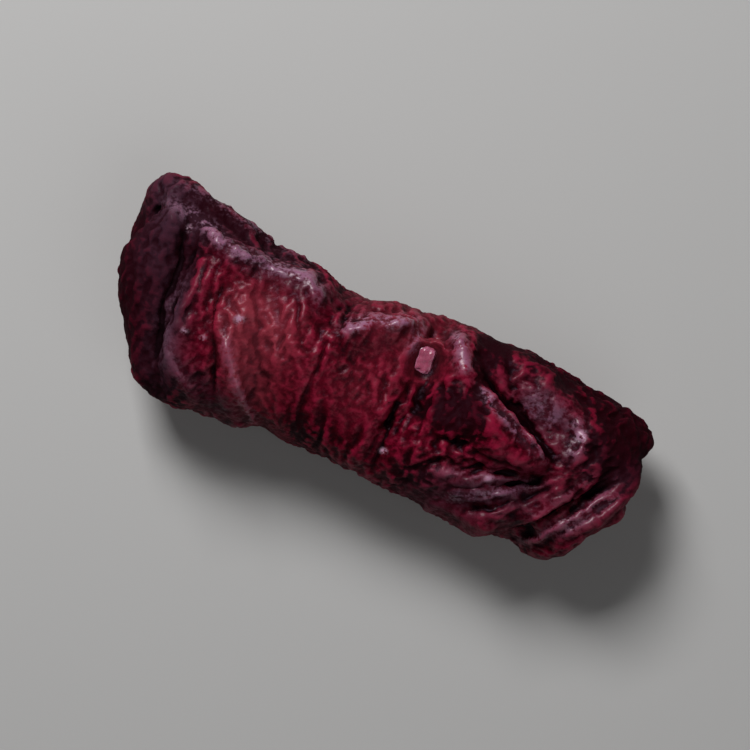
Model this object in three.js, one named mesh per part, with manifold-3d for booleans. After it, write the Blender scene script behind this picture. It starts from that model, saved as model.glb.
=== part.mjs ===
// A dried cranberry: one whole berry that has shrunk to a leathery, crumpled roll and lies on its side,
// with one grain of sugar held in the fold round its waist.
// Millimetres, +Z up, the berry's long axis along X, its blunt end at -X, the floor at z = 0.
import * as THREE from "three";
import { mergeVertices } from "three/addons/utils/BufferGeometryUtils.js";
import { ImprovedNoise } from "three/addons/math/ImprovedNoise.js";
import Module from "manifold-3d";

// Driving sizes
const LENGTH = 17.7;
const WIDTH = 5.7;
const HEIGHT = 4.9;
const BLUNT_END_POWER = 4.2;
const CALYX_END_POWER = 3.6;
const SECTION_POWER = 2.2;
const REST_DEPTH = 0.55;

// Skin grid: cells along the roll, across it and up its side, the share of the way from the middle to a tip
// that the long cells cover, and how far all crowd toward the crown
const CELLS_LONG = 66;
const CELLS_ACROSS = 18;
const CELLS_UP = 17;
const LONG_SHARE = 0.78;
const CROWN_CROWDING = 0.22;
const PROFILE_STEPS = 400;

// How the width, the middle line and the height change along the roll: bump at x, its reach and its size
const WIDTH_BUMPS = [
  { x: -6.8, reach: 2.5, size: 0.55 },
  { x: 0.8, reach: 2.2, size: -0.06 },
  { x: 5.4, reach: 1.8, size: 0.34 },
];
const MIDDLE_BUMPS = [
  { x: -9.6, reach: 2.2, size: 1.85 },
  { x: 5.4, reach: 1.7, size: -0.38 },
  { x: 9.0, reach: 1.2, size: 0.4 },
];
const HEIGHT_BUMPS = [
  { x: -5.0, reach: 2.3, size: 0.25 },
  { x: 1.2, reach: 1.3, size: -0.25 },
  { x: 4.0, reach: 1.6, size: 0.1 },
  { x: 8.6, reach: 1.8, size: -0.4 },
];

// Folds of the skin. Each runs along a route of [x, across], where across is the share of the half width:
// 0 on the crown, 1 and -1 at the widest line of either side, 2 under the berry.
// A rise above zero is a ridge, below zero a furrow.
const FOLDS = {
  collarFurrow: { half: 0.38, rise: -0.85, route: [[-6.8, 0.75], [-7.0, 0.3], [-6.9, -0.4], [-6.3, -0.95]] },
  bluntEndNick: { half: 0.35, rise: -0.25, route: [[-8.7, 0.95], [-8.3, 0.45]] },
  shoulderRidge: { half: 0.38, rise: 0.45, route: [[-7.9, 0.5], [-6.4, 0.62], [-3.1, 0.68], [-2.6, 0.4]] },
  shoulderGutter: { half: 0.42, rise: -0.45, route: [[-7.6, 0.78], [-5.6, 0.88], [-3.2, 0.93]] },
  backRidge: { half: 0.36, rise: 0.42, route: [[-1.4, 0.35], [-0.3, 0.6], [0.6, 0.8]] },
  waistFurrow: { half: 0.36, rise: -0.66, route: [[1.2, 0.9], [1.35, 0.4], [1.35, -0.1], [1.1, -0.65]] },
  waistRidge: { half: 0.4, rise: 0.48, route: [[1.9, 0.85], [2.3, 0.6], [2.8, 0.36]] },
  slantingRidge: { half: 0.34, rise: 0.6, route: [[3.0, 0.3], [4.4, 0.06], [5.8, -0.16]] },
  slantingFurrow: { half: 0.4, rise: -0.5, route: [[2.9, 0.62], [4.3, 0.32], [5.6, 0.1], [6.6, -0.05]] },
  hollowBrow: { half: 0.45, rise: 0.25, route: [[3.6, 0.95], [5.2, 0.8], [6.7, 0.6], [7.1, 0.2]] },
  lipGroove: { half: 0.5, rise: -0.8, route: [[5.6, -1.05], [6.6, -0.75], [7.5, -0.4], [8.0, 0.05]] },
  calyxLip: { half: 0.42, rise: 0.5, route: [[6.2, -1.2], [7.2, -0.95], [8.1, -0.6], [8.6, 0.0]] },
  cheekFurrow: { half: 0.36, rise: -0.5, route: [[-5.4, 0.35], [-5.3, -0.1], [-4.8, -0.5], [-4.2, -0.85]] },
  cheekRidge: { half: 0.36, rise: 0.38, route: [[-4.9, -0.15], [-4.1, -0.55], [-3.2, -0.85]] },
  shoulderEdge: { half: 0.4, rise: 0.22, route: [[-6.3, 0.25], [-6.3, -0.25], [-5.8, -0.65], [-5.0, -0.9]] },
};

// Fans of furrows: one whose furrows run together at the calyx end, and one that comes over the back
const FANS = [
  { count: 4, tip: [6.1, -0.2], first: [2.2, -0.3], last: [4.9, -1.05], half: 0.34, rise: -0.5 },
  { count: 3, tip: [-1.9, 0.45], first: [-2.6, 1.3], last: [-0.2, 1.25], half: 0.36, rise: -0.35 },
];

// The furrows that run down the two flanks, and the long ones under the berry
const FLANKS = { count: 9, from: -7.4, to: 7.6, top: 1.04, foot: 1.65, sway: 0.5, half: 0.38, rise: -0.4 };
const UNDERSIDE = { count: 3, ends: 5.6, first: 1.45, step: 0.36, sway: 0.18, half: 0.45, rise: -0.45 };

// How far the folds stray from their routes
const STRAY = { reach: 1.7, shift: 0.36 };

// Broad dents, where the skin has sunk between the folds
const HOLLOWS = {
  calyxHollow: { x: 5.2, across: 0.5, long: 1.4, wide: 0.75, turn: -0.4, depth: 0.6 },
  crownDip: { x: -0.8, across: -0.1, long: 1.3, wide: 1.2, turn: 0.3, depth: 0.3 },
  capDip: { x: -7.9, across: 0.1, long: 0.8, wide: 1.4, turn: 0.0, depth: 0.3 },
  endDimple: { x: -8.8, across: 0.5, long: 0.7, wide: 1.5, turn: 0.0, depth: 0.4 },
};

// The scar of the stem at the blunt tip and the pit of the calyx at the other, with its short lobes round it
const PITS = [
  { end: -1, y: 0.1, z: 0.1, reach: 0.75, depth: 0.45, lobes: 0, lobeRise: 0, lobeRing: 1 },
  { end: 1, y: 0.1, z: 0.0, reach: 0.8, depth: 0.65, lobes: 4, lobeRise: 0.45, lobeRing: 1.05 },
];

// Broad lumps of the flesh
const LUMP_REACH = 2.6;
const LUMP_RISE = 0.28;
const FLESH_SMOOTHING = 2;

// Drying: how much longer the skin is than the flesh under it, how stiff it is to bend, and how firmly
// the flesh holds it down and holds it up
const SKIN_STRETCH = 0.8;
const DRYING = { excess: 0.1, bend: 0.04, lift: 0.02, sink: 0.03, steps: 160 };
const FIRST_WRINKLES = 0.14;
const WRINKLE_REACH = 0.8;

// The skin shrinks most along the roll at the blunt end, and more and more aslant toward the calyx end
const SHRINK_BIAS = 0.6;
const SHRINK_TURN = -0.95;

// Where the skin stayed tauter: on the lower side of the middle and in the calyx hollow
const TAUT = [
  { x: -1.2, across: -0.6, reach: 1.7, share: 0.6 },
  { x: 5.0, across: 0.5, reach: 1.3, share: 0.6 },
];

// The grain of sugar in the waist furrow: its place, its full sizes, how far its middle stands over the skin,
// how it is turned, and how much its corners are worn
const GRAIN = {
  x: 1.33, y: 1.32, size: [0.62, 0.92, 0.7], lift: 0.14, turn: [0.12, -0.1, 0.08], wear: 0.14, cells: 3,
};

const noise = new ImprovedNoise();
const wasm = await Module();
wasm.setup();

const bell = (t) => Math.exp(-t * t);
const bumps = (list, x) => list.reduce((sum, b) => sum + b.size * bell((x - b.x) / b.reach), 0);
const signedPower = (v, p) => Math.sign(v) * Math.abs(v) ** p;

// The roll's half profile from its middle to one tip: shares of the half length and of the full thickness,
// evenly spaced over the skin.
function halfProfile(power) {
  const outline = [];
  let walked = 0;
  for (let i = 0; i <= PROFILE_STEPS; i++) {
    const turn = (i / PROFILE_STEPS) * (Math.PI / 2);
    const along = Math.sin(turn) ** (2 / power);
    const thick = Math.max(0, Math.cos(turn)) ** (2 / power);
    const last = outline[i - 1] ?? { along, thick };
    walked += Math.hypot((along - last.along) * LENGTH, (thick - last.thick) * WIDTH);
    outline.push({ along, thick, walked });
  }
  return (share) => {
    const target = share * walked;
    const next = Math.max(1, outline.findIndex((o) => o.walked >= target - 1e-9));
    const [a, b] = [outline[next - 1], outline[next]];
    const t = (target - a.walked) / (b.walked - a.walked);
    const mix = (name) => THREE.MathUtils.lerp(a[name], b[name], t);
    return { along: mix("along"), thick: mix("thick") };
  };
}
const bluntProfile = halfProfile(BLUNT_END_POWER);
const calyxProfile = halfProfile(CALYX_END_POWER);

// The closed grid of the skin: a box's faces, its two ends taken as the tips of the roll.
function skinGrid() {
  const grid = new THREE.BoxGeometry(2, 2, 2, CELLS_LONG, CELLS_ACROSS, CELLS_UP);
  grid.deleteAttribute("normal");
  grid.deleteAttribute("uv");
  return mergeVertices(grid, 1e-4);
}

// Where a point of the grid lies on the plain roll, with its place in the skin's own map:
// x along the roll and s round it from the crown, both in millimetres.
function rollPoint(box) {
  const ring = Math.max(Math.abs(box.y), Math.abs(box.z));
  const spread = (v) => Math.tan(((v / ring) * Math.PI) / 4);
  const share = ring < 1 - 1e-6 ? 1 - ring * (1 - LONG_SHARE) : Math.abs(box.x) * LONG_SHARE;
  const { along, thick } = (box.x < 0 ? bluntProfile : calyxProfile)(share);
  const x = (Math.sign(box.x) * along * LENGTH) / 2;
  const even = ring > 0 ? Math.atan2(spread(box.y), spread(box.z)) : 0;
  const angle = even - CROWN_CROWDING * Math.sin(even);
  const halfWidth = (WIDTH / 2 + bumps(WIDTH_BUMPS, x)) * thick;
  const halfHeight = (HEIGHT / 2 + bumps(HEIGHT_BUMPS, x)) * thick;
  const y = bumps(MIDDLE_BUMPS, x) + halfWidth * signedPower(Math.sin(angle), 2 / SECTION_POWER);
  const z = halfHeight * signedPower(Math.cos(angle), 2 / SECTION_POWER);
  return { point: new THREE.Vector3(x, y, z), x, s: (angle * WIDTH) / 2 };
}

// A place across the berry as a distance round it.
function roundFromAcross(across) {
  const side = Math.abs(across);
  const fromCrown = Math.asin(Math.min(side, 2 - side) ** (SECTION_POWER / 2));
  return (Math.sign(across) * (side > 1 ? Math.PI - fromCrown : fromCrown) * WIDTH) / 2;
}

// Every fold, those of the fans, the flanks and the underside too, with its route in the skin's own map.
function allFolds() {
  const folds = Object.values(FOLDS);
  for (const fan of FANS) {
    for (let i = 0; i < fan.count; i++) {
      const t = i / (fan.count - 1);
      const start = fan.first.map((v, k) => THREE.MathUtils.lerp(v, fan.last[k], t));
      folds.push({ half: fan.half, rise: fan.rise, route: [start, fan.tip] });
    }
  }
  for (const side of [-1, 1]) {
    for (let i = 0; i < FLANKS.count; i++) {
      const swing = Math.sin(2.4 * i + side);
      const x = THREE.MathUtils.lerp(FLANKS.from, FLANKS.to, i / (FLANKS.count - 1)) + FLANKS.sway * swing;
      const foot = FLANKS.foot - 0.3 * Math.cos(3.1 * i - side);
      const route = [[x, side * FLANKS.top], [x + FLANKS.sway * Math.cos(1.9 * i), side * foot]];
      folds.push({ half: FLANKS.half, rise: FLANKS.rise * (1 + 0.45 * Math.sin(4.2 * i + side)), route });
    }
  }
  for (let i = 0; i < UNDERSIDE.count; i++) {
    const across = UNDERSIDE.first + i * UNDERSIDE.step;
    const route = [-1, -0.3, 0.4, 1].map((t, k) => {
      const swayed = across + UNDERSIDE.sway * Math.sin(2.3 * i + 1.7 * k);
      return [t * UNDERSIDE.ends, swayed > 2 ? swayed - 4 : swayed];
    });
    folds.push({ half: UNDERSIDE.half, rise: UNDERSIDE.rise, route });
  }
  return folds.map((f) => ({ ...f, route: f.route.map(([x, across]) => [x, roundFromAcross(across)]) }));
}

// How near a place on the skin is to a fold's route: 1 on it, 0 away from it, fading at its two ends.
function nearness(fold, x, s) {
  const b = new THREE.Vector2();
  let best = Infinity;
  let along = 0;
  const spans = fold.route.length - 1;
  for (let i = 0; i < spans; i++) {
    const [ax, as] = fold.route[i];
    b.set(fold.route[i + 1][0] - ax, fold.route[i + 1][1] - as);
    const t = THREE.MathUtils.clamp(((x - ax) * b.x + (s - as) * b.y) / b.lengthSq(), 0, 1);
    const gap = Math.hypot(x - ax - t * b.x, s - as - t * b.y);
    if (gap < best) {
      best = gap;
      along = (i + t) / spans;
    }
  }
  return bell(best / fold.half) * Math.min(1, 0.35 + 3 * Math.min(along, 1 - along));
}

// The height that folds and hollows add to the roll at a place on its skin.
function relief(folds, spotX, spotS) {
  const stray = (seed) => STRAY.shift * noise.noise(spotX / STRAY.reach, spotS / STRAY.reach, seed);
  const x = spotX + stray(0.4);
  const s = spotS + stray(9.7);
  let height = 0;
  for (const fold of folds) height += fold.rise * nearness(fold, x, s);
  for (const h of Object.values(HOLLOWS)) {
    const dx = x - h.x;
    const ds = s - roundFromAcross(h.across);
    const along = dx * Math.cos(h.turn) + ds * Math.sin(h.turn);
    const aside = ds * Math.cos(h.turn) - dx * Math.sin(h.turn);
    height -= h.depth * bell(along / h.long) * bell(aside / h.wide);
  }
  return height;
}

// The height that the pits at the two tips add at a place of the plain roll.
function pitRelief(p) {
  let height = 0;
  for (const pit of PITS) {
    const tip = (pit.end * LENGTH) / 2;
    const dy = p.y - bumps(MIDDLE_BUMPS, tip) - pit.y;
    const dz = p.z - pit.z;
    const gap = Math.hypot(p.x - tip, dy, dz);
    const lobed = (1 + Math.cos(pit.lobes * Math.atan2(dy, dz))) / 2;
    const rim = bell((gap - pit.lobeRing) / (0.4 * pit.lobeRing));
    height += pit.lobeRise * lobed * rim - pit.depth * bell(gap / pit.reach);
  }
  return height;
}

// Vertex normals of a closed grid as a flat array.
function normalsOf(geometry) {
  geometry.computeVertexNormals();
  return Float32Array.from(geometry.attributes.normal.array);
}

// Springs of the skin: every side and both diagonals of every cell, as pairs of vertex numbers.
function skinSprings(geometry) {
  const index = geometry.index.array;
  const seen = new Map();
  const add = (a, b) => seen.set(Math.min(a, b) * 1e6 + Math.max(a, b), [a, b]);
  for (let i = 0; i < index.length; i += 6) {
    const [a, b, d] = [index[i], index[i + 1], index[i + 2]];
    const c = index[i + 4];
    add(a, b);
    add(b, c);
    add(c, d);
    add(d, a);
    add(a, c);
    add(b, d);
  }
  return [...seen.values()];
}

// How many springs meet at each vertex.
function springCounts(springs, count) {
  const valence = new Float32Array(count);
  for (const [a, b] of springs) {
    valence[a]++;
    valence[b]++;
  }
  return valence;
}

// How far each vertex of a field of places stands off the mean of its neighbours.
function standOff(field, springs, valence) {
  const off = new Float32Array(field.length);
  for (const [a, b] of springs) {
    for (let k = 0; k < 3; k++) {
      const d = field[3 * b + k] - field[3 * a + k];
      off[3 * a + k] += d / valence[a];
      off[3 * b + k] -= d / valence[b];
    }
  }
  return off;
}

// How much of the full shrinking reaches a spring of the skin between two places of its map.
function shrinkShare(from, to) {
  const x = (from.x + to.x) / 2;
  const s = (from.s + to.s) / 2;
  const greatest = SHRINK_TURN * THREE.MathUtils.smoothstep(x, 0, 5);
  const direction = Math.atan2(to.s - from.s, to.x - from.x);
  const taut = TAUT.reduce(
    (left, t) => left * (1 - t.share * bell(Math.hypot(x - t.x, s - roundFromAcross(t.across)) / t.reach)),
    1,
  );
  return taut * (1 + SHRINK_BIAS * Math.cos(2 * (direction - greatest)));
}

// Dries the berry: its skin is longer than the flesh has room for, so it buckles into wrinkles,
// lifting off the flesh more easily than it sinks into it.
function dry(geometry, map) {
  const p = geometry.attributes.position.array;
  const flesh = Float32Array.from(p);
  const normal = normalsOf(geometry);
  const springs = skinSprings(geometry);
  const valence = springCounts(springs, map.length);
  const restLength = springs.map(([a, b]) => {
    const gap = Math.hypot(p[3 * a] - p[3 * b], p[3 * a + 1] - p[3 * b + 1], p[3 * a + 2] - p[3 * b + 2]);
    return gap * (1 + DRYING.excess * shrinkShare(map[a], map[b]));
  });
  const restCurve = standOff(p, springs, valence);
  for (let i = 0; i < map.length; i++) {
    const at = [0, 1, 2].map((k) => flesh[3 * i + k] / WRINKLE_REACH + DRYING.steps);
    const n = FIRST_WRINKLES * noise.noise(...at);
    for (let k = 0; k < 3; k++) p[3 * i + k] += normal[3 * i + k] * n;
  }
  for (let step = 0; step < DRYING.steps; step++) {
    const pull = new Float32Array(p.length);
    springs.forEach(([a, b], i) => {
      const dx = p[3 * b] - p[3 * a];
      const dy = p[3 * b + 1] - p[3 * a + 1];
      const dz = p[3 * b + 2] - p[3 * a + 2];
      const length = Math.hypot(dx, dy, dz);
      const share = (SKIN_STRETCH * (length - restLength[i])) / length;
      pull[3 * a] += (dx * share) / valence[a];
      pull[3 * a + 1] += (dy * share) / valence[a];
      pull[3 * a + 2] += (dz * share) / valence[a];
      pull[3 * b] -= (dx * share) / valence[b];
      pull[3 * b + 1] -= (dy * share) / valence[b];
      pull[3 * b + 2] -= (dz * share) / valence[b];
    });
    const curve = standOff(p, springs, valence).map((v, j) => v - restCurve[j]);
    const bend = standOff(curve, springs, valence);
    for (let i = 0; i < map.length; i++) {
      let out = 0;
      for (let k = 0; k < 3; k++) out += (p[3 * i + k] - flesh[3 * i + k]) * normal[3 * i + k];
      const hold = out * (out > 0 ? DRYING.lift : DRYING.sink);
      for (let k = 0; k < 3; k++) {
        const j = 3 * i + k;
        p[j] += pull[j] - DRYING.bend * bend[j] - hold * normal[j];
      }
    }
  }
}

// Lays the berry down: the underside goes flat where it meets the floor, and the middle of the whole
// comes over the origin.
function layDown(geometry) {
  geometry.computeBoundingBox();
  const box = geometry.boundingBox;
  const floor = box.min.z + REST_DEPTH;
  geometry.translate(-(box.min.x + box.max.x) / 2, -(box.min.y + box.max.y) / 2, -floor);
  const place = geometry.attributes.position;
  for (let i = 0; i < place.count; i++) place.setZ(i, Math.max(0, place.getZ(i)));
}

// The berry's skin: the plain roll, its lumps, folds and hollows, and then the wrinkles of drying.
function berrySkin() {
  const grid = skinGrid();
  const place = grid.attributes.position;
  const map = [];
  for (let i = 0; i < place.count; i++) {
    const spot = rollPoint(new THREE.Vector3().fromBufferAttribute(place, i));
    map.push(spot);
    place.setXYZ(i, spot.point.x, spot.point.y, spot.point.z);
  }
  const normal = normalsOf(grid);
  const folds = allFolds();
  for (let i = 0; i < place.count; i++) {
    const n = new THREE.Vector3().fromArray(normal, 3 * i);
    const p = map[i].point;
    const lump = LUMP_RISE * noise.noise(p.x / LUMP_REACH, p.y / LUMP_REACH + 3.1, p.z / LUMP_REACH + 5.7);
    p.addScaledVector(n, lump + pitRelief(p) + relief(folds, map[i].x, map[i].s));
    place.setXYZ(i, p.x, p.y, p.z);
  }
  const springs = skinSprings(grid);
  const valence = springCounts(springs, place.count);
  for (let pass = 0; pass < FLESH_SMOOTHING; pass++) {
    standOff(place.array, springs, valence).forEach((v, j) => (place.array[j] += 0.5 * v));
  }
  dry(grid, map);
  grid.deleteAttribute("normal");
  layDown(grid);
  return grid;
}

// The grain of sugar: a block with worn corners, set down on the skin under its place.
function sugarGrain(skin) {
  const grain = new THREE.BoxGeometry(...GRAIN.size, GRAIN.cells, GRAIN.cells, GRAIN.cells);
  grain.deleteAttribute("normal");
  grain.deleteAttribute("uv");
  const place = grain.attributes.position;
  const half = new THREE.Vector3(...GRAIN.size).multiplyScalar(0.5);
  for (let i = 0; i < place.count; i++) {
    const p = new THREE.Vector3().fromBufferAttribute(place, i);
    const inner = half.clone().subScalar(GRAIN.wear);
    const core = p.clone().clamp(inner.clone().negate(), inner);
    p.sub(core).setLength(GRAIN.wear).add(core);
    place.setXYZ(i, p.x, p.y, p.z);
  }
  grain.applyMatrix4(new THREE.Matrix4().makeRotationFromEuler(new THREE.Euler(...GRAIN.turn)));
  const above = new THREE.Vector3(GRAIN.x, GRAIN.y, HEIGHT * 2);
  const [hit] = new THREE.Raycaster(above, new THREE.Vector3(0, 0, -1)).intersectObject(new THREE.Mesh(skin));
  grain.translate(GRAIN.x, GRAIN.y, hit.point.z + GRAIN.lift);
  return mergeVertices(grain, 1e-4);
}

// A closed geometry as a solid that can be joined, and a solid as a geometry.
function toSolid(geometry) {
  return new wasm.Manifold(new wasm.Mesh({
    numProp: 3,
    vertProperties: Float32Array.from(geometry.attributes.position.array),
    triVerts: Uint32Array.from(geometry.index.array),
  }));
}

function toGeometry(solid) {
  const mesh = solid.getMesh();
  const geometry = new THREE.BufferGeometry();
  geometry.setAttribute("position", new THREE.BufferAttribute(mesh.vertProperties, 3));
  geometry.setIndex(new THREE.BufferAttribute(mesh.triVerts, 1));
  return geometry;
}

const skin = berrySkin();
const berry = new THREE.Group();
const cranberry = new THREE.Mesh(
  toGeometry(toSolid(skin).add(toSolid(sugarGrain(skin)))),
  new THREE.MeshStandardMaterial({ color: 0x3e111b, roughness: 0.42, metalness: 0 }),
);
cranberry.name = "dried_cranberry";
berry.add(cranberry);

export default berry;
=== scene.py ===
"""One whole dried cranberry: its leathery, crumpled skin and the grain of sugar in the waist fold.

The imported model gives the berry's form and size. The skin here starts from that form, is cut into finer
cells and dries on, so that it takes the fine wrinkles, sharp crests and tight creases of the real skin.
Lengths inside the classes are millimetres, except in the studio. A finished piece is in metres.
"""

import logging
import math
from dataclasses import dataclass
from enum import Enum
from typing import Any, Iterable

import bmesh
import bpy
import numpy as np
from mathutils import Matrix, Vector, noise


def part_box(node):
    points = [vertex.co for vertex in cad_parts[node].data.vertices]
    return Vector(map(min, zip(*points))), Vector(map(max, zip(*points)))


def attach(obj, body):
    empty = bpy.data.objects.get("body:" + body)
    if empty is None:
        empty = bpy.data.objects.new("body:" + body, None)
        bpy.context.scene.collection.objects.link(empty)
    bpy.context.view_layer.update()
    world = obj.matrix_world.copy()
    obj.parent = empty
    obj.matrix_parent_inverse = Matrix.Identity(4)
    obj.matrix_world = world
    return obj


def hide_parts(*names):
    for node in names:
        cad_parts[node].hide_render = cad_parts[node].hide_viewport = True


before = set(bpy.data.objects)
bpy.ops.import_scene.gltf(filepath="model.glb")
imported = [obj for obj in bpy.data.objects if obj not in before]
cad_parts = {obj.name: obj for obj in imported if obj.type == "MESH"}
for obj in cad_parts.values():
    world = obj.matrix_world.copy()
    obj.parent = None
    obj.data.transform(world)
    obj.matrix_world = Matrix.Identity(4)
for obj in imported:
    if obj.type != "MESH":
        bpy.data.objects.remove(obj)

NODE = "dried_cranberry"
MM = 0.001
NOISE_SEED = 3
Colour = tuple[float, float, float]
Pair = tuple[float, float]
Band = Pair
log = logging.getLogger("dried_cranberry")

# The Mix node's colour sockets, which go by number
MIX_SHARE = 0
MIX_UNDER = 6
MIX_OVER = 7
MIX_RESULT = 2


class Trait(Enum):
    """What a piece's mesh says of each vertex, for its finish to read."""

    CREST = "crest"  # how far it stands out of the fine wrinkles
    FOLD = "fold"  # how far it stands out of the broad folds
    SIDE = "side"  # whether it faces sideways or down
    STEEP = "steep"  # whether it leans away from straight up
    BLOOM_AND_SHEEN = "bloom_and_sheen"  # dusty bloom, partly painted sheen
    FLUSH_AND_LIGHT = "flush_and_light"  # red flush, partly painted light on the lit cheek and its bumps
    DARK_AND_SHADE = "dark_and_shade"  # darker skin, partly painted shade in the furrows and along the lower edge
    RIGHT = "right"  # nearness to the calyx end
    WET_AND_GLINT = "wet_and_glint"  # drops of juice, glossy, with a painted pale glint
    PAINTED_SHEEN = "pale"  # painted lilac sheen on crests
    EDGE = "edge"  # a worn edge of the grain of sugar


# Shader bench


class Wire:
    """A shader socket that takes part in sums and products."""

    def __init__(self, bench: "Bench", socket: bpy.types.NodeSocket) -> None:
        """Keeps the socket and the bench it belongs to."""
        self.bench = bench
        self.socket = socket

    def __add__(self, other: Any) -> "Wire":
        """Sum."""
        return self.bench.maths("ADD", self, other)

    __radd__ = __add__

    def __mul__(self, other: Any) -> "Wire":
        """Product."""
        return self.bench.maths("MULTIPLY", self, other)

    __rmul__ = __mul__

    def __sub__(self, other: Any) -> "Wire":
        """Difference."""
        return self.bench.maths("SUBTRACT", self, other)

    def __rsub__(self, other: Any) -> "Wire":
        """Difference with the socket on the right."""
        return self.bench.maths("SUBTRACT", other, self)

    def clamped(self) -> "Wire":
        """The value held between 0 and 1."""
        return self.bench.maths("MAXIMUM", 0.0, self.bench.maths("MINIMUM", 1.0, self))

    def swing(self, weight: float) -> "Wire":
        """How far the value is from a half, times a weight."""
        return weight * (self - 0.5)


class Bench:
    """One material's node tree, and the one way nodes are added to it."""

    def __init__(self, name: str) -> None:
        """Starts an empty material of that name."""
        self.material = bpy.data.materials.new(name)
        self.material.use_nodes = True
        self.tree = self.material.node_tree
        self.tree.nodes.clear()
        self.place = self.wire("ShaderNodeTexCoord", "Object")

    def node(self, kind: str, settings: dict[str, Any] | None = None,
             inputs: dict[Any, Any] | None = None) -> bpy.types.Node:
        """Adds a node.

        Args:
            kind: The node's type.
            settings: Its own settings, which are set first.
            inputs: Values or wires for its input sockets, by name or number.

        Returns:
            The node.
        """
        made = self.tree.nodes.new(kind)
        for name, value in (settings or {}).items():
            setattr(made, name, value)
        for key, value in (inputs or {}).items():
            if isinstance(value, Wire):
                self.tree.links.new(value.socket, made.inputs[key])
            else:
                made.inputs[key].default_value = value
        return made

    def wire(self, kind: str, output: Any, settings: dict[str, Any] | None = None,
             inputs: dict[Any, Any] | None = None) -> Wire:
        """Adds a node and gives one of its outputs as a wire."""
        return Wire(self, self.node(kind, settings, inputs).outputs[output])

    def maths(self, operation: str, *values: Any) -> Wire:
        """Adds a Math node on numbers or wires, in the order of its inputs."""
        return self.wire("ShaderNodeMath", 0, {"operation": operation}, dict(enumerate(values)))

    def trait(self, trait: Trait) -> Wire:
        """What the mesh says of each vertex."""
        return self.wire("ShaderNodeAttribute", "Fac", {"attribute_name": trait.value})

    def grain(self, size: float, detail: float = 2.0, roughness: float = 0.5, warp: float = 0.0) -> Wire:
        """Cloudy variation about 0.5 that is fixed in the piece.

        Args:
            size: Width of its patches in millimetres.
            detail: How many finer layers it has.
            roughness: How strong the finer layers are.
            warp: How much the patches twist.

        Returns:
            The variation, about 0 to 1.
        """
        inputs = {"Vector": self.place, "Scale": 1.0 / (size * MM), "Detail": detail, "Roughness": roughness,
                  "Distortion": warp}
        return self.wire("ShaderNodeTexNoise", "Fac", None, inputs)

    def between(self, value: Wire, band: Band) -> Wire:
        """Runs smoothly from 0 at a band's lower end to 1 at its upper end.

        Args:
            value: What is measured.
            band: The two ends.

        Returns:
            How far the value is through the band.
        """
        settings = {"interpolation_type": "SMOOTHSTEP"}
        inputs = {"Value": value, "From Min": band[0], "From Max": band[1], "To Min": 0.0, "To Max": 1.0}
        return self.wire("ShaderNodeMapRange", 0, settings, inputs)

    def blend(self, share: Any, under: Any, over: Any) -> Wire:
        """Blends two colours.

        Args:
            share: How much of the second shows.
            under: The first colour, as numbers or a wire.
            over: The second colour.

        Returns:
            The blended colour.
        """
        first, second = (c if isinstance(c, Wire) else (*c, 1.0) for c in (under, over))
        settings = {"data_type": "RGBA", "blend_type": "MIX", "clamp_factor": True}
        inputs = {MIX_SHARE: share, MIX_UNDER: first, MIX_OVER: second}
        return self.wire("ShaderNodeMix", MIX_RESULT, settings, inputs)

    def bump(self, height: Wire, distance: float, strength: float) -> Wire:
        """The normal of a bumped surface, where distance is the depth in millimetres of a height of 1."""
        inputs = {"Height": height, "Distance": distance * MM, "Strength": strength}
        return self.wire("ShaderNodeBump", "Normal", None, inputs)

    def finish(self, **sockets: Any) -> bpy.types.Material:
        """Adds the surface shader and closes the material.

        Args:
            sockets: Values or wires for the shader, with underscores for the spaces in a socket's name.

        Returns:
            The material.
        """
        inputs = {name.replace("_", " "): value for name, value in sockets.items()}
        surface = self.wire("ShaderNodeBsdfPrincipled", "BSDF", None, inputs)
        self.node("ShaderNodeOutputMaterial", None, {"Surface": surface})
        return self.material


# Finishes


@dataclass(frozen=True)
class SkinMarks:
    """The patterns of the skin, and how much each mark shows, from 0 to 1."""

    clouds: Wire
    specks: Wire
    dots: Wire
    mottle: Wire
    risen: Wire
    dust_and_sheen: Wire
    painted_sheen: Wire
    wet_and_glint: Wire


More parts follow.
